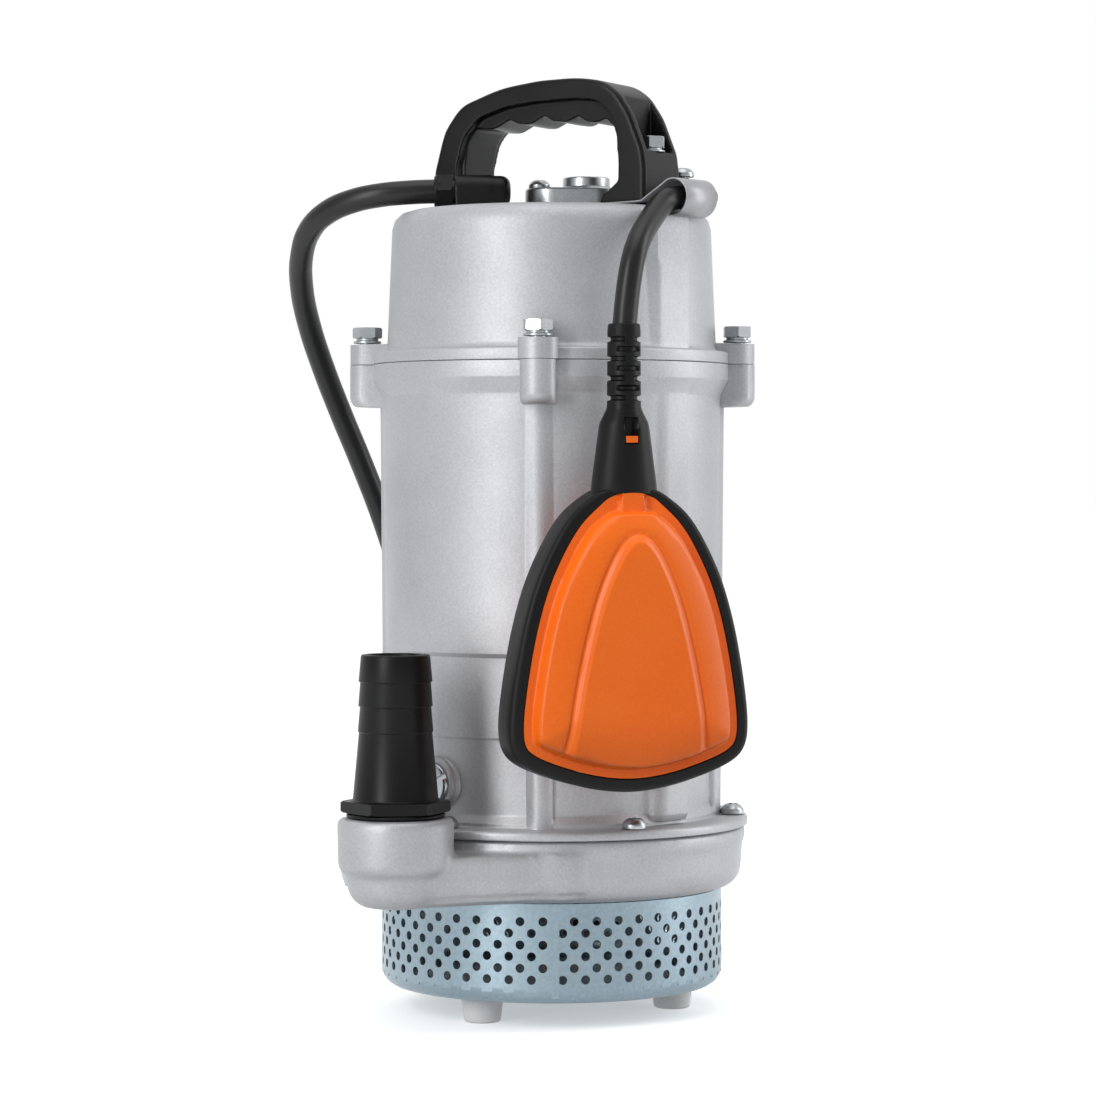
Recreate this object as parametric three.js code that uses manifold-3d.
// A submersible drainage pump with a float switch: cast aluminium cap, motor housing and
// volute over a pressed strainer, with its motor, seal, impeller, float and supply lead.
// Millimetres, +Z up, standing on its three feet at z = 0.
import * as THREE from "three";
import { mergeVertices } from "three/addons/utils/BufferGeometryUtils.js";
import Module from "manifold-3d";

const wasm = await Module();
wasm.setup();

// ---------------------------------------------------------------- driving dimensions
// Angles in plan are bearings in degrees: 0 is the front (-Y), 90 is +X.
const GAP = 0.3; // clearance between pieces that touch
const FINE = 36; // sides of the large round castings
const ROUND = 24; // sides of turning pieces and their seats
const COARSE = 12; // sides of small round pieces

const CAP = { top: 310, wallTop: 61.6, wallFoot: 64, corner: 7, under: 302, bore: 56 };
const JOINT = { z: 250.4, flangeR: 69.3, top: 255, bottom: 244.1 };
const HOUSING = { foot: 72, bore: 60, oilBore: 53, bearings: [0, 90, 180, 270] };
const LUG = { r: 72.2, capR: 6.8, lowR: 6.3, top: 258.6, bottom: 234 };
const PAD = { bearing: 49, width: 22, face: 66.2 };
const PLATE = { r: 76.4, top: 75.5, stepR: 63.8, step: 77 };
const SCREW = { circle: 70.4, headR: 4.65, bearings: [30, 90, 150, 210, 270, 330] };
const VOLUTE = { foot: 48, rim: 71.7, r: 74.7, rimR: 75.3, bend: 8, bore: 63, floor: 52 };
const OUTLET = { bearing: -31.6, r: 98.5, bossR: 21.6, low: 58, top: 81.5, bore: 12.8 };
const STRAINER = { r: 66.3, z: 9.7, top: 47.7, sheet: 1, corner: 6 };
const FOOT = { circle: 47, r: 7, topR: 8.1, bearings: [-30, 90, 210] };
const HANDLE = { turn: -26, at: [1.7, 0.1], depth: 29, core: 22, hole: 34, boltU: 41.9 };
const CLIP = { bearing: 54, r: 66.8, z: 311.9, width: 19, inner: 6.3, outer: 7.5 };
const FLOAT = { bearing: 21.5, turn: 24, r: 88, z: 147.3, wall: 1.8 };
const FLOAT_CORD_R = 4.5;
const MAINS = { r: 4.7, coilR: 56, coilHalf: 14.4, coilTop: 38.9, coilAt: [-9, 168] };
const SHAFT_R = 7.5;
const STATOR = { low: 162, high: 218, inner: 34.2, outer: 59.6 };
const IMPELLER = { r: 52, low: 53.5, high: 64, vanes: 7 };

// ---------------------------------------------------------------- finishes
const finish = (color, roughness, metalness) =>
  new THREE.MeshStandardMaterial({ color, roughness, metalness });
const CAST = finish(0xc9c9cb, 0.55, 0.6);
const ZINC = finish(0xb9c0c4, 0.3, 0.95);
const GALVANISED = finish(0x9fb2bc, 0.35, 0.9);
const BLACK_NYLON = finish(0x1c1d1d, 0.5, 0);
const RUBBER = finish(0x151515, 0.7, 0);
const ORANGE = finish(0xf26a21, 0.4, 0);
const GREY_FOOT = finish(0xcfcfcf, 0.6, 0);
const STEEL = finish(0x9a9da0, 0.35, 1);
const COPPER = finish(0xb06a3c, 0.35, 0.9);
const CAPACITOR_WHITE = finish(0xd8d8d4, 0.5, 0);
const BRONZE = finish(0xa98b4d, 0.4, 0.9);

// ---------------------------------------------------------------- solids
const rad = THREE.MathUtils.degToRad;
const polar = (bearing, r) => [r * Math.sin(rad(bearing)), -r * Math.cos(rad(bearing))];

// A closed geometry as a manifold solid, turned right side out.
function solid(geometry) {
  const bare = geometry.index ? geometry.toNonIndexed() : geometry.clone();
  for (const name of Object.keys(bare.attributes)) {
    if (name !== "position") bare.deleteAttribute(name);
  }
  const merged = mergeVertices(bare, 1e-4);
  const make = (triVerts) =>
    new wasm.Manifold(
      new wasm.Mesh({ numProp: 3, vertProperties: merged.attributes.position.array, triVerts }),
    );
  const triVerts = new Uint32Array(merged.index.array);
  const made = make(triVerts);
  return made.volume() > 0 ? made : make(triVerts.slice().reverse());
}

function geometryOf(made) {
  const { vertProperties, triVerts } = made.getMesh();
  return new THREE.BufferGeometry()
    .setAttribute("position", new THREE.BufferAttribute(vertProperties, 3))
    .setIndex(new THREE.BufferAttribute(triVerts, 1));
}

const join = (first, ...others) => others.reduce((whole, next) => whole.add(next), first);
const cut = (first, ...others) => others.reduce((whole, next) => whole.subtract(next), first);

// Turned about Z from [r, z] pairs that start and end on the axis, or close on themselves.
function turned(profile, sides = FINE) {
  const points = profile.map(([r, z]) => new THREE.Vector2(r, z));
  return solid(new THREE.LatheGeometry(points, sides).rotateX(Math.PI / 2));
}

// A ring or tube about Z between two radii and two heights.
function ring(inner, outer, low, high, sides = COARSE) {
  return turned([[inner, low], [outer, low], [outer, high], [inner, high], [inner, low]], sides);
}

// A round bar about Z at (x, y); its top radius may differ.
function bar([x, y], r, low, high, sides = COARSE, topR = r) {
  return solid(
    new THREE.CylinderGeometry(topR, r, high - low, sides)
      .rotateX(Math.PI / 2)
      .translate(x, y, (low + high) / 2),
  );
}

// A round bar along X, from x = from to x = to.
function barX(r, from, to, z = 0, sides = COARSE) {
  return solid(
    new THREE.CylinderGeometry(r, r, to - from, sides)
      .rotateZ(Math.PI / 2)
      .translate((from + to) / 2, 0, z),
  );
}

function box([x0, y0, z0], [x1, y1, z1]) {
  return solid(
    new THREE.BoxGeometry(x1 - x0, y1 - y0, z1 - z0)
      .translate((x0 + x1) / 2, (y0 + y1) / 2, (z0 + z1) / 2),
  );
}

// A plan outline extruded from low to high.
function slab(shape, low, high, curveSegments = 8) {
  const settings = { depth: high - low, bevelEnabled: false, curveSegments };
  return solid(new THREE.ExtrudeGeometry(shape, settings).translate(0, 0, low));
}

// An outline in X and Z extruded along Y from front to back.
function panel(shape, front, back, curveSegments = 8) {
  const settings = { depth: back - front, bevelEnabled: false, curveSegments };
  return solid(new THREE.ExtrudeGeometry(shape, settings).rotateX(Math.PI / 2).translate(0, back, 0));
}

function hexagon(acrossFlats) {
  const shape = new THREE.Shape();
  const corner = acrossFlats / Math.sqrt(3);
  for (let i = 0; i < 6; i++) {
    const a = (i * Math.PI) / 3;
    if (i) shape.lineTo(corner * Math.cos(a), corner * Math.sin(a));
    else shape.moveTo(corner, 0);
  }
  shape.closePath();
  return shape;
}

// Rings of points with equal counts, joined by quads and closed by fans.
function loft(rings) {
  const count = rings[0].length;
  const points = rings.flat();
  const index = [];
  for (let k = 0; k + 1 < rings.length; k++) {
    for (let i = 0; i < count; i++) {
      const a = k * count + i;
      const b = k * count + ((i + 1) % count);
      index.push(a, b, b + count, a, b + count, a + count);
    }
  }
  const ends = [rings[0], rings[rings.length - 1]].map((end) => {
    const centre = end.reduce((sum, p) => sum.add(p), new THREE.Vector3()).divideScalar(count);
    return points.push(centre) - 1;
  });
  const last = (rings.length - 1) * count;
  for (let i = 0; i < count; i++) {
    index.push(ends[0], (i + 1) % count, i);
    index.push(ends[1], last + i, last + ((i + 1) % count));
  }
  return solid(new THREE.BufferGeometry().setFromPoints(points).setIndex(index));
}

const pump = new THREE.Group();

function add(name, made, material, parent = pump) {
  const mesh = new THREE.Mesh(geometryOf(made), material);
  mesh.name = name;
  parent.add(mesh);
  return mesh;
}

// A solid turned to a bearing, so that its own -Y points outwards there.
const at = (bearing, made) => made.rotate([0, 0, bearing]);


// ---------------------------------------------------------------- castings
const capProfile = [[0, CAP.top], [CAP.wallTop - CAP.corner, CAP.top]];
for (const a of [22.5, 45, 67.5, 90]) {
  const x = CAP.wallTop - CAP.corner * (1 - Math.sin(rad(a)));
  capProfile.push([x, CAP.top - CAP.corner * (1 - Math.cos(rad(a)))]);
}
capProfile.push([63.8, 262], [CAP.wallFoot, 257], [66, JOINT.top], [JOINT.flangeR, JOINT.top]);
capProfile.push([JOINT.flangeR, JOINT.z], [CAP.bore, JOINT.z], [CAP.bore, 296], [50, CAP.under]);
capProfile.push([0, CAP.under]);

// Tapped boss under the cap's roof for a handle bolt, and the seats on its top.
const handlePoint = (u, n) => {
  const a = rad(HANDLE.turn);
  return [
    HANDLE.at[0] + u * Math.cos(a) + n * Math.sin(a),
    HANDLE.at[1] + u * Math.sin(a) - n * Math.cos(a),
  ];
};
const handleBolts = [handlePoint(-HANDLE.boltU, 0), handlePoint(HANDLE.boltU, 0)];

let cap = turned(capProfile);
for (const bearing of HOUSING.bearings) {
  const lug = join(
    bar([0, -LUG.r], LUG.capR, JOINT.z, LUG.top),
    box([-LUG.capR, -LUG.r, JOINT.z], [LUG.capR, -60, LUG.top]),
  );
  cap = cut(join(cap, at(bearing, lug)), at(bearing, bar([0, -LUG.r], 3.4, 240, 270)));
}
const capPad = box([-PAD.width / 2, -PAD.face, JOINT.z + 2], [PAD.width / 2, -58, CAP.top - 7]);
cap = join(cap, at(PAD.bearing, capPad));
for (const spot of handleBolts) {
  cap = cut(join(cap, bar(spot, 7, 288, CAP.under + 1)), bar(spot, 3.3, 291, 320));
}
const GLAND = { at: [-37, -9.9], turn: 4, z: 317.2 };
const ACCESS = { at: [7.8, 20.6], turn: 4, reach: 19.6, halfWide: 11.5, top: 320.4, seat: 314 };
const accessShape = (grow) => {
  const shape = new THREE.Shape();
  const side = ACCESS.reach - ACCESS.halfWide;
  shape.absarc(side, 0, ACCESS.halfWide + grow, -Math.PI / 2, Math.PI / 2);
  shape.absarc(-side, 0, ACCESS.halfWide + grow, Math.PI / 2, 1.5 * Math.PI);
  return shape;
};
const onDeck = (place, made) => made.rotate([0, 0, place.turn]).translate([...place.at, 0]);
cap = join(cap, onDeck(ACCESS, slab(accessShape(0.8), CAP.top - 1, ACCESS.seat, 6)));
const ACCESS_BORE_X = 4.5;
cap = cut(cap, onDeck(ACCESS, bar([ACCESS_BORE_X, 0], 5.4, 295, 330)));
cap = cut(cap, onDeck(ACCESS, bar([-14, 0], 2.3, 304, 330)));
add("upper_cap", cap, CAST);

let housing = turned([
  [HOUSING.bore, JOINT.z - GAP], [JOINT.flangeR, JOINT.z - GAP], [JOINT.flangeR, JOINT.bottom],
  [66.2, 238], [65.9, 229], [64.2, 140], [62.8, 137.8], [62.6, 109], [62.4, 108], [62.2, 80],
  [PLATE.stepR, PLATE.step], [PLATE.stepR, PLATE.top], [PLATE.r, PLATE.top],
  [PLATE.r, HOUSING.foot], [14.2, HOUSING.foot], [14.2, 82], [HOUSING.oilBore, 82],
  [HOUSING.oilBore, 112], [12.5, 112], [12.5, 116], [17.9, 116], [17.9, 128],
  [HOUSING.bore, 128], [HOUSING.bore, JOINT.z - GAP],
]);
for (const bearing of HOUSING.bearings) {
  const lug = join(
    bar([0, -LUG.r], LUG.lowR, LUG.bottom, JOINT.z - GAP, COARSE, LUG.lowR + 0.7),
    box([-LUG.lowR, -LUG.r, LUG.bottom], [LUG.lowR, -61.5, JOINT.z - GAP]),
  );
  const tapped = bar([0, -LUG.r], 3.3, LUG.bottom + 4, 260);
  const rib = bar([0, -60.4], 5.1, PLATE.top, LUG.bottom + 3, COARSE, 7.6);
  housing = cut(join(housing, at(bearing, lug), at(bearing, rib)), at(bearing, tapped));
}
const pad = box([-PAD.width / 2, -PAD.face + 0.6, PLATE.top], [PAD.width / 2, -59, 245]);
const OIL_PLUG = { bearing: -40, z: 91, face: 66.2 };
const plugBoss = barX(9.6, 56, OIL_PLUG.face - 3.4, OIL_PLUG.z, COARSE).rotate([0, 0, -90]);
const plugBore = barX(5.3, 40, 80, OIL_PLUG.z, COARSE).rotate([0, 0, -90]);
housing = join(housing, at(PAD.bearing, pad), at(OIL_PLUG.bearing, plugBoss));
housing = cut(housing, at(OIL_PLUG.bearing, plugBore));
housing = cut(housing, bar([0, 0], HOUSING.bore, 128, 300, FINE));
housing = cut(housing, ring(62.2, 64.8, JOINT.z - 2.2, 260, FINE));
for (const bearing of SCREW.bearings) {
  housing = cut(housing, at(bearing, bar([0, -SCREW.circle], 2.9, 60, 90, 8)));
}
add("motor_housing", housing, CAST);
add("casing_seal", ring(62.5, 64.5, JOINT.z - 1.9, JOINT.z - 0.1, FINE), RUBBER);

const bracket = join(
  ring(18, 59.7, 226, 230, ROUND),
  ring(17.9, 23, 226, 242, ROUND),
  ring(55, 59.7, 219, 230, ROUND),
);
add("bearing_bracket", cut(bracket, bar([0, 0], 17.8, 220, 250, ROUND)), CAST);

// ---------------------------------------------------------------- volute and outlet
const bend = [];
for (const a of [0, 30, 60, 90]) {
  const r = VOLUTE.r - 1.2 - VOLUTE.bend * (1 - Math.cos(rad(a)));
  bend.unshift([r, VOLUTE.foot + VOLUTE.bend * (1 - Math.sin(rad(a)))]);
}
let volute = turned([
  [22, VOLUTE.foot], ...bend, [VOLUTE.r, 66.3], [VOLUTE.rimR, 66.5],
  [VOLUTE.rimR, VOLUTE.rim], [VOLUTE.bore, VOLUTE.rim], [VOLUTE.bore, 57],
  [57, VOLUTE.floor], [22, VOLUTE.floor], [22, VOLUTE.foot],
]);
const throat = new THREE.Shape();
const tangent = (sign, r, d) => [sign * r, -d];
throat.moveTo(...tangent(-1, VOLUTE.r - 2, 8));
throat.lineTo(...tangent(1, 48, 56));
throat.lineTo(...tangent(1, OUTLET.bossR - 1, OUTLET.r));
throat.lineTo(...tangent(-1, OUTLET.bossR - 1, OUTLET.r));
throat.closePath();
const collar = join(
  slab(throat, 53, VOLUTE.rim - 3),
  bar([0, -OUTLET.r], OUTLET.bossR, OUTLET.low, OUTLET.top, 32),
  bar([0, -OUTLET.r], OUTLET.bossR - 6, OUTLET.low - 5, OUTLET.low, 32, OUTLET.bossR),
);
const clearChamber = join(
  bar([0, 0], VOLUTE.bore, 57, 90, FINE),
  bar([0, 0], 57, VOLUTE.floor, 58, FINE, VOLUTE.bore),
);
const clearPlate = bar([0, 0], PLATE.r + 0.5, VOLUTE.rim, 90, FINE);
volute = join(volute, cut(at(OUTLET.bearing, collar), clearChamber, clearPlate));
const outletBores = join(
  bar([0, -OUTLET.r], OUTLET.bore, 60, 90, 24),
  barX(5.6, 50, OUTLET.r, 62.6, 12).rotate([0, 0, -90]),
);
volute = cut(volute, at(OUTLET.bearing, outletBores));
for (const bearing of SCREW.bearings) {
  volute = cut(volute, at(bearing, bar([0, -SCREW.circle], 2.9, 58, 90, 8)));
}
for (const bearing of FOOT.bearings) {
  volute = join(volute, at(bearing, bar([0, -FOOT.circle], 5, 11.2, VOLUTE.foot + 1, 12)));
}
volute = cut(volute, ring(64, 66.2, VOLUTE.rim - 2, 80, FINE));
add("volute_casing", volute, CAST);
add("volute_seal", ring(64.3, 65.9, VOLUTE.rim - 1.7, VOLUTE.rim + 0.1, FINE), RUBBER);

const outer = [];
const inner = [];
for (const a of [0, 30, 60, 90]) {
  const bendAt = (corner) => [
    STRAINER.r - STRAINER.corner + corner * Math.sin(rad(a)),
    STRAINER.z + STRAINER.corner - corner * Math.cos(rad(a)),
  ];
  outer.push(bendAt(STRAINER.corner));
  inner.unshift(bendAt(STRAINER.corner - STRAINER.sheet));
}
const basket = turned([
  [0, STRAINER.z], ...outer, [STRAINER.r, STRAINER.top],
  [STRAINER.r - STRAINER.sheet, STRAINER.top], ...inner, [0, STRAINER.z + STRAINER.sheet],
]);
add("strainer", basket, GALVANISED);
FOOT.bearings.forEach((bearing, i) => {
  const foot = bar([0, -FOOT.circle], FOOT.r, 0, STRAINER.z - GAP, COARSE, FOOT.topR);
  add(`foot_${i + 1}`, at(bearing, foot), GREY_FOOT);
});

const barbBase = OUTLET.top + 2;
const barb = cut(
  join(
    turned([
      [0, 70], [12.3, 70], [12.3, barbBase - 2.3], [12.3, barbBase], [18, barbBase], [18, 88],
      [15.6, 88], [13.4, 113], [13.9, 113], [13.1, 122.5], [13.7, 122.5], [13, 131.5], [13.6, 131.5],
      [12.6, 141.6], [0, 141.6],
    ], 24),
    slab(hexagon(35.6), barbBase + 0.01, 87.9),
  ),
  bar([0, 0], 9.8, 60, 150, 24),
);
const atOutlet = (made) => at(OUTLET.bearing, made.translate([0, -OUTLET.r, 0]));
add("hose_barb", atOutlet(barb), BLACK_NYLON);
add("barb_gasket", atOutlet(ring(13.2, 18.6, OUTLET.top + 0.2, barbBase - 0.2, 24)), RUBBER);

const facing = (made) => at(OIL_PLUG.bearing, made.rotate([0, 0, -90]));
const plug = join(
  barX(8.4, OIL_PLUG.face - 1.9, OIL_PLUG.face, OIL_PLUG.z),
  barX(5, 54, OIL_PLUG.face, OIL_PLUG.z),
);
const plugSlot = box([OIL_PLUG.face - 1.2, -5, OIL_PLUG.z - 0.6], [80, 5, OIL_PLUG.z + 0.6]);
add("oil_plug", facing(cut(plug, plugSlot)), ZINC);
const plugSeal = cut(
  barX(9, OIL_PLUG.face - 3.2, OIL_PLUG.face - 2.1, OIL_PLUG.z),
  barX(5.4, 40, 80, OIL_PLUG.z),
);
add("oil_plug_seal", facing(plugSeal), RUBBER);

// ---------------------------------------------------------------- handle and deck
const arch = [
  [-47.2, 310.4], [-47.2, 326], [-42.6, 342.2], [-37.5, 349], [-31, 353.8], [-17, 357.6],
  [0, 359.6], [17, 360], [27, 358.4], [34, 354], [40, 346], [46, 332], [47.2, 326],
  [47.2, 310.4], [27, 310.4], [28.6, 314.5], [33.6, 319], [34, 332], [31.5, 340], [28, 343.8],
  [22, 342.8], [16, 345.2], [10.5, 343.4], [1, 346], [-5.8, 343.2], [-14.8, 345.2], [-21.6, 342.2],
  [-29.5, 342.8], [-33, 338], [-34.5, 331], [-34.5, 319], [-28.6, 314.5], [-27, 310.4],
];
const outline = (points) => {
  const shape = new THREE.Shape(points.map(([x, z]) => new THREE.Vector2(x, z)));
  return shape;
};
const half = HANDLE.depth / 2;
// The inner half of the section is narrower than the band round its outside.
const recess = [
  [-36.4, 320], [-36.4, 326], [-33.8, 338], [-27, 345.8], [-14, 350], [0, 351.3], [16, 351.5],
  [24.6, 350.8], [30.5, 346.5], [34.4, 338], [35.4, 326], [35.4, 320], [30, 316], [-30, 316],
];
let handle = panel(outline(arch), -half, half);
const side = (HANDLE.depth - HANDLE.core) / 2;
handle = cut(
  handle,
  panel(outline(recess), -half - 1, -half + side),
  panel(outline(recess), half - side, half + 1),
);
for (const end of [-1, 1]) {
  const pocket = outline([[end * 35.9, 331], [end * 60, 331], [end * 60, 370], [end * 35.9, 370]]);
  handle = cut(handle, panel(pocket, -half + 4, half - 4));
  handle = cut(handle, bar([end * HANDLE.boltU, 0], 3.4, 300, 340));
}
handle = cut(handle, box([-60, -30, 300], [60, 30, CAP.top + GAP]));
const onHandle = (made) => made.rotate([0, 0, HANDLE.turn]).translate([...HANDLE.at, 0]);

// Relief under the right foot for the tail of the cord clip.
const clipTail = (grow) =>
  box(
    [-CLIP.width / 2 - grow, -CLIP.r + 4, CAP.top + GAP - grow],
    [CLIP.width / 2 + grow, -34 + grow, CAP.top + GAP + 1.2 + grow],
  );
handle = cut(onHandle(handle), at(CLIP.bearing, clipTail(GAP)));
add("handle", handle, BLACK_NYLON);

// A hexagon-head bolt standing at z = 0 with its washer under the head.
function hexBolt(flats, head, washer, shankR, length) {
  return join(
    slab(hexagon(flats), washer, washer + head),
    bar([0, 0], flats * 0.53, 0, washer + 0.01),
    bar([0, 0], shankR, -length, washer + 0.01, 12),
  );
}
handleBolts.forEach((spot, i) => {
  const bolt = hexBolt(10, 4.4, 1.5, 3, 37).translate([...spot, 331 + GAP]);
  add(`handle_bolt_${i + 1}`, bolt, ZINC);
});
HOUSING.bearings.forEach((bearing, i) => {
  const bolt = hexBolt(10, 4.2, 2, 3, 18).translate([0, -LUG.r, LUG.top + GAP]);
  add(`flange_bolt_${i + 1}`, at(bearing, bolt), ZINC);
});

// A cross-recessed pan-head screw standing at z = 0.
function panScrew(headR, head, shankR, length) {
  const cross = join(
    box([-headR * 0.55, -0.6, head - 1.2], [headR * 0.55, 0.6, head + 1]),
    box([-0.6, -headR * 0.55, head - 1.2], [0.6, headR * 0.55, head + 1]),
  );
  const made = turned([
    [0, -length], [shankR, -length], [shankR, 0], [headR, 0], [headR, head * 0.5],
    [headR * 0.66, head * 0.92], [0, head],
  ], 10);
  return cut(made, cross);
}
SCREW.bearings.forEach((bearing, i) => {
  const screw = panScrew(SCREW.headR, 4.5, 2.5, 14).translate([0, -SCREW.circle, PLATE.top + GAP]);
  add(`base_screw_${i + 1}`, at(bearing, screw), ZINC);
});

let access = join(
  slab(accessShape(0), ACCESS.seat + GAP, ACCESS.top, 6),
  bar([ACCESS_BORE_X, 0], 9.3, ACCESS.top - 1, ACCESS.top + 4.4),
);
access = cut(access, bar([-14, 0], 2.4, 300, 330, 12));
access = join(access, bar([ACCESS_BORE_X, 0], 5, 306, ACCESS.top));
add("access_plate", onDeck(ACCESS, access), ZINC);
const accessScrew = panScrew(4.3, 3.7, 2, 12).translate([-14, 0, ACCESS.top + GAP]);
add("access_screw", onDeck(ACCESS, accessScrew), ZINC);

const gland = cut(
  join(barX(6.6, 0, 22, GLAND.z), box([0, -6.4, CAP.top + GAP], [20, 6.4, GLAND.z])),
  barX(5, -1, 14, GLAND.z),
);
add("cord_gland", onDeck(GLAND, gland), BLACK_NYLON);
const nut = slab(hexagon(12.8), -7.2, -0.2).rotate([0, 0, 30]).rotate([0, -90, 0]).translate([-7.4, 0, GLAND.z]);
const nutBored = cut(nut, barX(5, -20, 20, GLAND.z));
add("gland_nut", onDeck(GLAND, nutBored), BLACK_NYLON);

const clip = cut(
  join(
    barX(CLIP.outer, -CLIP.width / 2, CLIP.width / 2, 0, 24).translate([0, -CLIP.r, CLIP.z]),
    clipTail(0),
  ),
  barX(CLIP.inner, -40, 40, 0, 24).translate([0, -CLIP.r, CLIP.z]),
);
const clipHole = bar(handleBolts[1], 3.4, 300, 330, 12);
add("cord_clip", cut(at(CLIP.bearing, clip), clipHole), GALVANISED);

// The float's lead enters through a small clamp, whose ear carries a screw on a slim pillar.
const FLOAT_GLAND = { at: [38.6, 19.7], turn: -24, z: 317, pillar: [18.6, -11.6], top: 323 };
const [pillarX, pillarY] = FLOAT_GLAND.pillar;
const ear = new THREE.Shape(
  [[-3, -6.2], [pillarX - 3.4, pillarY - 1.6], [pillarX, pillarY - 3.8], [pillarX + 3.6, pillarY - 1],
    [pillarX + 2.4, pillarY + 3], [6, -4.4], [-1, -4.4]].map(([x, y]) => new THREE.Vector2(x, y)),
);
const floatGland = join(
  barX(6.4, -7, 0, FLOAT_GLAND.z),
  barX(5.6, -2, 8.4, FLOAT_GLAND.z),
  box([-6.4, -5.2, CAP.top + GAP], [-0.6, 5.2, FLOAT_GLAND.z - 0.7]),
  slab(ear, CAP.top + GAP, CAP.top + 3),
  bar(FLOAT_GLAND.pillar, 2.9, CAP.top + 1, FLOAT_GLAND.top, 12),
);
const floatGlandBored = cut(
  floatGland,
  barX(FLOAT_CORD_R + 0.2, -4, 20, FLOAT_GLAND.z, 16),
  bar(FLOAT_GLAND.pillar, 1.9, CAP.top + 1.5, 330, 12),
);
add("float_gland", onDeck(FLOAT_GLAND, floatGlandBored), BLACK_NYLON);
const glandScrew = panScrew(4.6, 3.8, 1.6, 10).translate([pillarX, pillarY, FLOAT_GLAND.top + GAP]);
add("gland_screw", onDeck(FLOAT_GLAND, glandScrew), ZINC);

// ---------------------------------------------------------------- motor and seal
add("stator_core", ring(STATOR.inner, STATOR.outer, STATOR.low, STATOR.high, ROUND), STEEL);
add("winding_top", ring(37, 53, STATOR.high + GAP, STATOR.high + 7, 24), COPPER);
add("winding_bottom", ring(37, 53, STATOR.low - 16, STATOR.low - GAP, 24), COPPER);
add("capacitor", bar([0, 18], 15, 247, 285, 24), CAPACITOR_WHITE);
add("upper_bearing", ring(SHAFT_R + 0.1, 17.5, 230.5, 241.5, ROUND), STEEL);
add("lower_bearing", ring(SHAFT_R + 0.1, 17.5, 116.3, 127.3, ROUND), STEEL);
add("seal_seat", ring(SHAFT_R + 0.3, 13.9, 74, 81, ROUND), CAPACITOR_WHITE);

const shaft = turned([
  [0, 51], [4, 51], [4, 53.2], [5.8, 53.2], [5.8, 72], [SHAFT_R, 72], [SHAFT_R, 244], [6.5, 245], [0, 245],
], ROUND);
add("shaft", shaft, STEEL);
add("rotor_core", ring(SHAFT_R + 0.05, 33.5, STATOR.low, STATOR.high, ROUND), STEEL);
add("seal_head", ring(SHAFT_R + 0.05, 12, 81.4, 96, ROUND), STEEL);
let impeller = join(
  ring(6, 12, 56, IMPELLER.high, ROUND),
  ring(6, IMPELLER.r, IMPELLER.high - 3, IMPELLER.high, ROUND),
);
for (let i = 0; i < IMPELLER.vanes; i++) {
  const vane = join(
    box([9, -1.4, IMPELLER.low], [32, 1.4, IMPELLER.high - 2]).rotate([0, 0, -14]).translate([0, 2, 0]),
    box([0, -1.4, IMPELLER.low], [21, 1.4, IMPELLER.high - 2]).rotate([0, 0, -44]).translate([30, -5.2, 0]),
  );
  impeller = join(impeller, vane.rotate([0, 0, (i * 360) / IMPELLER.vanes]));
}
impeller = cut(impeller, bar([0, 0], 5.85, 40, 80, ROUND), bar([0, 0], 9.5, 40, 55.9, ROUND));
add("impeller", impeller, BRONZE);
const impellerNut = cut(slab(hexagon(13), 50.2, 55.6), bar([0, 0], 5.9, 40, 80, ROUND));
add("impeller_nut", impellerNut, ZINC);

// ---------------------------------------------------------------- float switch
const teardrop = [
  [0, 55.6], [9, 55.3], [15, 52.5], [23, 45.5], [30, 35], [36.5, 21], [41.5, 4], [45.2, -16],
  [46.7, -31], [45.4, -39.5], [40.5, -45.2], [30, -49.8], [15, -54], [0, -55.6],
];
const teardropLoop = (inset, depth) => {
  const right = teardrop.map(([x, z]) => [x * (1 - inset / 46.7), (z + 3) * (1 - inset / 55.6) - 3]);
  const left = right.slice(1, -1).reverse().map(([x, z]) => [-x, z]);
  return [...right, ...left].map(([x, z]) => new THREE.Vector3(x, depth, z));
};
const tear = (rows) => loft(rows.map(([inset, depth]) => teardropLoop(inset, depth)));
const onFloat = (made) => {
  const [x, y] = polar(FLOAT.bearing, FLOAT.r);
  return made.rotate([0, 0, FLOAT.turn]).translate([x, y, FLOAT.z]);
};
const mirrored = (rows) => rows.map(([inset, depth]) => [inset, -depth]);
const rim = cut(
  tear([[1.6, -8], [0, -6], [0, 6], [1.6, 8]]),
  tear([[5, -9], [5, 9]]),
  bar([0, 0], 7, 40, 70, 16),
);
const frontRows = [[5.4, -0.2], [5.4, -7.6], [8, -8], [10.5, -13], [16, -17], [24, -18.6]];
const hollowRows = [[7.2, 1], [7.2, -6], [10, -7], [12.5, -11.6], [18, -15.2], [26, -16.7]];
const shell = cut(tear(frontRows), tear(hollowRows));
const shellBack = cut(tear(mirrored(frontRows)), tear(mirrored(hollowRows)));
const neck = bar([0, 0], 7, 40, 70, 16);
add("float_rim", onFloat(rim), RUBBER);
add("float_shell_front", onFloat(cut(shell, neck)), ORANGE);
add("float_shell_back", onFloat(cut(shellBack, neck)), ORANGE);

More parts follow.
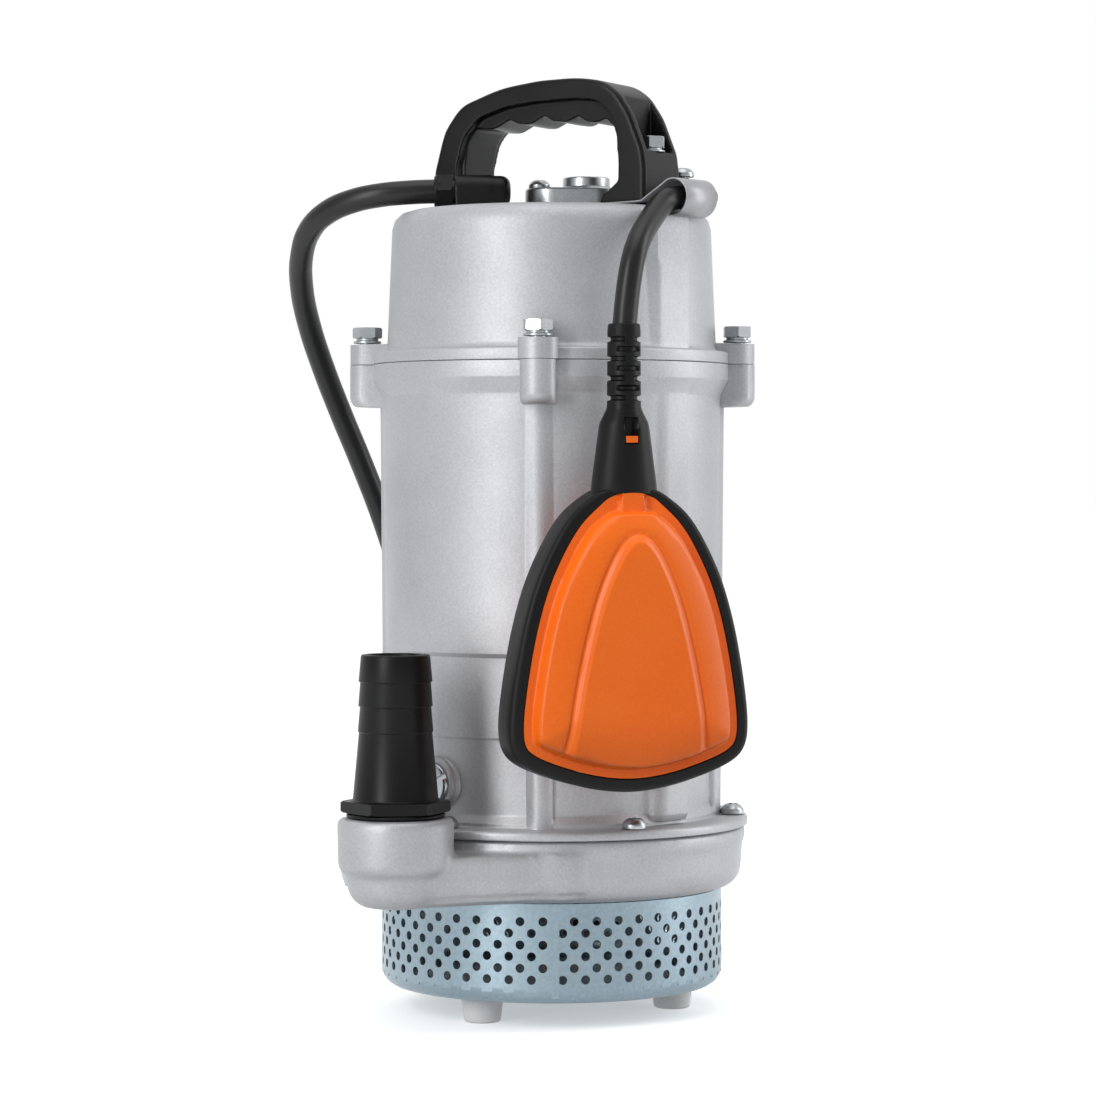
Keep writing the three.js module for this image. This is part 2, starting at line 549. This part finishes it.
const ovalRing = (x, y, z) => {
  const points = [];
  for (let i = 0; i < 20; i++) {
    const a = (i * Math.PI) / 10;
    points.push(new THREE.Vector3(x * Math.cos(a), y * Math.sin(a), z));
  }
  return points;
};
let boot = loft([
  ovalRing(12.6, 9.8, 55.9), ovalRing(12.2, 9.8, 57), ovalRing(9.3, 8.4, 80), ovalRing(6.4, 6.4, 84),
  ovalRing(6.1, 6.1, 115.5),
]);
for (let i = 0; i < 4; i++) {
  const z = 87.5 + i * 6.6;
  for (const turn of [0, 90]) {
    const low = z + (turn ? 3.3 : 0);
    const slots = join(
      box([-8, -3.6, low], [8, -7, low + 1.6]),
      box([-8, 3.6, low], [8, 7, low + 1.6]),
    );
    boot = cut(boot, slots.rotate([0, 0, turn]));
  }
}
boot = cut(boot, box([-2.6, -12, 66], [2.6, -6.4, 78]));
boot = cut(boot, bar([0, 0], FLOAT_CORD_R + 0.5, 60, 130, 20));
add("float_boot", onFloat(boot), BLACK_NYLON);

const microswitch = box([-14, -5, 14], [14, 5, 30]);
add("microswitch", onFloat(microswitch), BLACK_NYLON);
add("switch_lever", onFloat(box([-12, -2.5, 12.2], [11, 2.5, 13])), STEEL);
const channel = cut(ring(7.4, 9, -34, -3, 20), box([-12, -2, -8], [12, 2, 5]));
add("ball_channel", onFloat(channel), CAPACITOR_WHITE);
const ball = solid(new THREE.SphereGeometry(7, 12, 8)).translate([0, 0, -26]);
add("switch_ball", onFloat(ball), STEEL);

// ---------------------------------------------------------------- leads
function lead(points, r, steps) {
  const path = new THREE.CatmullRomCurve3(points.map((p) => new THREE.Vector3(...p)));
  const circle = new THREE.Shape();
  circle.absarc(0, 0, r, 0, 2 * Math.PI);
  const settings = { steps, curveSegments: 4, bevelEnabled: false, extrudePath: path };
  return solid(new THREE.ExtrudeGeometry(circle, settings));
}
const [floatX, floatY] = polar(FLOAT.bearing, FLOAT.r);
const clipAt = (along) => {
  const [x, y] = polar(CLIP.bearing, CLIP.r);
  const [dx, dy] = polar(CLIP.bearing + 90, along);
  return [x + dx, y + dy];
};
const floatCord = [
  [floatX, floatY, FLOAT.z + 62], [floatX, floatY, FLOAT.z + 90], [floatX + 0.3, floatY + 0.3, FLOAT.z + 116],
  [floatX + 4, floatY + 5.5, 290], [...clipAt(-17), 307.5], [...clipAt(-8), 311.4], [...clipAt(0), CLIP.z],
  [58.3, -31.2, CLIP.z], [60, -23, 312.6], [60.4, -13.5, 313.8], [60.2, -5, 315], [58, 3.3, 316],
  [53.8, 10.6, 316.7], [47.7, 15.6, FLOAT_GLAND.z], [44.1, 17.3, FLOAT_GLAND.z],
  [41.8, 18.3, FLOAT_GLAND.z],
];
add("float_cord", lead(floatCord, FLOAT_CORD_R, 40), RUBBER);

// ---------------------------------------------------------------- origin
const extent = new THREE.Box3().setFromObject(pump);
const centre = extent.getCenter(new THREE.Vector3());

// The supply lead: out of its gland, round behind the pump and down to the floor.
const mains = [
  [-29, -9.3, 317.2], [-37, -9.9, 317.2], [-45, -10.5, 317.2], [-55, -11.2, 316.8],
  [-66, -11.2, 315.8], [-77, -8.5, 313.8], [-87.5, -2.5, 310], [-95.5, 6.5, 304],
  [-100.5, 18, 295], [-102.5, 31, 283], [-101.5, 44, 269], [-97.5, 56, 252],
  [-91.5, 67, 233], [-84, 77, 212], [-76.5, 85, 190], [-70, 91, 167], [-65.5, 95, 143],
  [-63.2, 98, 119], [-63, 100.5, 95], [-64.6, 103.5, 71], [-67.6, 107.5, 49], [-71, 113.5, 30],
  [-73.5, 121, 16], [-74.4, 128, 10],
];
add("mains_cord", lead(mains, MAINS.r, 56), RUBBER);
const coil = ring(
  MAINS.coilR - MAINS.coilHalf, MAINS.coilR + MAINS.coilHalf, 0.4, MAINS.coilTop, 24,
);
add("mains_coil", coil.translate([...MAINS.coilAt, 0]), RUBBER);
const plugTail = [
  [-29, 268, 18.7], [-46, 264, 18.8], [-59, 252, 19.8], [-69, 234, 22.5], [-74, 217, 26],
  [-75.3, 207, 28.2],
];
const PLUG = { at: [-17, 268, 0], z: 18.7, pinSpread: 9.5 };
const plugBody = join(
  barX(18.4, 0, 16, PLUG.z, 20),
  barX(10, -24, 0.5, PLUG.z),
  barX(2.4, 15, 35, PLUG.z, 10).translate([0, -PLUG.pinSpread, 0]),
  barX(2.4, 15, 35, PLUG.z, 10).translate([0, PLUG.pinSpread, 0]),
);
add("mains_plug", join(plugBody.translate(PLUG.at), lead(plugTail, MAINS.r, 14)), RUBBER);

pump.position.set(-centre.x, -centre.y, 0);
export default pump;
